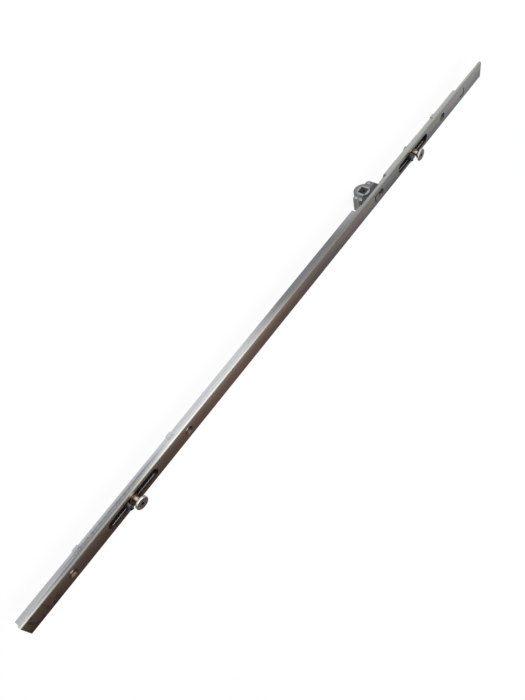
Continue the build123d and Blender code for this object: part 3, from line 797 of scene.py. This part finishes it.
rings.make(
    "hub_face_rings",
    [(0, side * HUB_END_Y, 0) for side in (-1, 1)],
    "hub",
    "sintered_steel",
    Ring_Radius=HUB_RING_RADIUS * MM,
    Line_Radius=RING_LINE_RADIUS * MM,
    Finish=FINISHES["sintered_steel"],
)


# Surroundings

def white_to_the_eye(tree):
    """The light path node, and 1 for rays from the camera and through glass, 0 for the rest."""
    path = tree.nodes.new("ShaderNodeLightPath")
    seen = add_node(tree, "ShaderNodeMath", operation="MAXIMUM")
    tree.links.new(path.outputs["Is Camera Ray"], seen.inputs[0])
    tree.links.new(path.outputs["Is Transmission Ray"], seen.inputs[1])
    return path, seen.outputs[0]


def pale_room():
    """White to the camera, and to the metal a bright room with one dim corner.

    The near half of the face reflects the dim corner in the photograph's view.
    """
    room = bpy.data.worlds.new("pale_room")
    room.use_nodes = True
    tree = room.node_tree
    tree.nodes.clear()
    out = tree.nodes.new("ShaderNodeOutputWorld")
    seen = tree.nodes.new("ShaderNodeBackground")
    seen.inputs["Color"].default_value = (1, 1, 1, 1)
    reflected = tree.nodes.new("ShaderNodeBackground")
    mixed = tree.nodes.new("ShaderNodeMixShader")
    direction = tree.nodes.new("ShaderNodeTexCoord")
    toward = add_node(tree, "ShaderNodeVectorMath", operation="DOT_PRODUCT")
    toward.inputs[1].default_value = DIM_CORNER
    tree.links.new(direction.outputs["Generated"], toward.inputs[0])
    shade = tree.nodes.new("ShaderNodeValToRGB")
    fill_ramp(shade.color_ramp, ROOM_SHADES)
    tree.links.new(toward.outputs["Value"], shade.inputs[0])
    tree.links.new(shade.outputs[0], reflected.inputs["Color"])
    _, white = white_to_the_eye(tree)
    tree.links.new(white, mixed.inputs[0])
    tree.links.new(reflected.outputs[0], mixed.inputs[1])
    tree.links.new(seen.outputs[0], mixed.inputs[2])
    tree.links.new(mixed.outputs[0], out.inputs["Surface"])
    bpy.context.scene.world = room


def pale_floor():
    """White to the camera and to the metal, a little less so under the strip."""
    mesh = bpy.data.meshes.new("floor")
    signs = ((-1, -1), (1, -1), (1, 1), (-1, 1))
    corners = [(x * FLOOR_HALF_WIDTH, y * FLOOR_HALF_WIDTH, FLOOR_LEVEL) for x, y in signs]
    mesh.from_pydata(corners, [], [(0, 1, 2, 3)])
    floor = bpy.data.objects.new("floor", mesh)
    bpy.context.scene.collection.objects.link(floor)
    paint = bpy.data.materials.new("floor_paint")
    paint.use_nodes = True
    tree = paint.node_tree
    tree.nodes.clear()
    out = tree.nodes.new("ShaderNodeOutputMaterial")
    matt = tree.nodes.new("ShaderNodeBsdfDiffuse")
    matt.inputs["Color"].default_value = (0.9, 0.9, 0.9, 1)
    glow = tree.nodes.new("ShaderNodeEmission")
    glow.inputs["Strength"].default_value = 1.0
    mixed = tree.nodes.new("ShaderNodeMixShader")
    path, seen = white_to_the_eye(tree)
    widest = add_node(tree, "ShaderNodeMath", operation="MAXIMUM")
    tree.links.new(seen, widest.inputs[0])
    tree.links.new(path.outputs["Is Glossy Ray"], widest.inputs[1])
    where = tree.nodes.new("ShaderNodeTexCoord")
    from_middle = add_node(tree, "ShaderNodeVectorMath", operation="LENGTH")
    tree.links.new(where.outputs["Object"], from_middle.inputs[0])
    ease = add_node(tree, "ShaderNodeMapRange", interpolation_type="SMOOTHSTEP")
    tree.links.new(from_middle.outputs["Value"], ease.inputs["Value"])
    for socket_name, value in (
        ("From Min", GLOW_EASES_FROM),
        ("From Max", GLOW_EASES_TO),
        ("To Min", GLOW_UNDER_STRIP),
        ("To Max", GLOW_FAR_OUT),
    ):
        ease.inputs[socket_name].default_value = value
    share = add_node(tree, "ShaderNodeMath", operation="MULTIPLY")
    tree.links.new(widest.outputs[0], share.inputs[0])
    tree.links.new(ease.outputs["Result"], share.inputs[1])
    tree.links.new(share.outputs[0], mixed.inputs[0])
    tree.links.new(matt.outputs[0], mixed.inputs[1])
    tree.links.new(glow.outputs[0], mixed.inputs[2])
    tree.links.new(mixed.outputs[0], out.inputs["Surface"])
    mesh.materials.append(paint)


def soft_lamp(name, place, size, watts, colour=(1, 1, 1)):
    """A square lamp that looks at the strip's middle."""
    data = bpy.data.lights.new(name, "AREA")
    data.shape = "SQUARE"
    data.size = size
    data.energy = watts
    data.color = colour
    lamp = bpy.data.objects.new(name, data)
    bpy.context.scene.collection.objects.link(lamp)
    away = (Vector(place) - Vector(LAMPS_AIM)).normalized()
    lamp.location = place
    lamp.rotation_mode = "QUATERNION"
    lamp.rotation_quaternion = away.to_track_quat("Z", "Y")


def photograph_camera():
    """Stands where the photograph was taken from; its three axes are unit vectors."""
    data = bpy.data.cameras.new("camera")
    data.sensor_width = 36.0
    data.sensor_fit = "AUTO"
    data.lens = 32.5
    data.clip_start = 0.01
    data.clip_end = 50.0
    camera = bpy.data.objects.new("camera", data)
    bpy.context.scene.collection.objects.link(camera)
    right = (0.5871, -0.19834, 0.78484)
    up = (0.73266, 0.54251, -0.41097)
    back = (-0.34427, 0.8163, 0.46383)
    place = (-0.33149, 0.38488, 0.23555)
    camera.matrix_world = Matrix(
        [[right[i], up[i], back[i], place[i]] for i in range(3)] + [[0, 0, 0, 1]]
    )
    bpy.context.scene.camera = camera


pale_room()
pale_floor()
soft_lamp("overhead", place=(-0.1, 0.1, 1.4), size=2.2, watts=15.0)
soft_lamp("side", place=(-0.3, 1.5, 0.9), size=1.6, watts=7.0, colour=(0.96, 1.0, 1.0))
photograph_camera()

scene = bpy.context.scene
scene.view_settings.view_transform = "Standard"
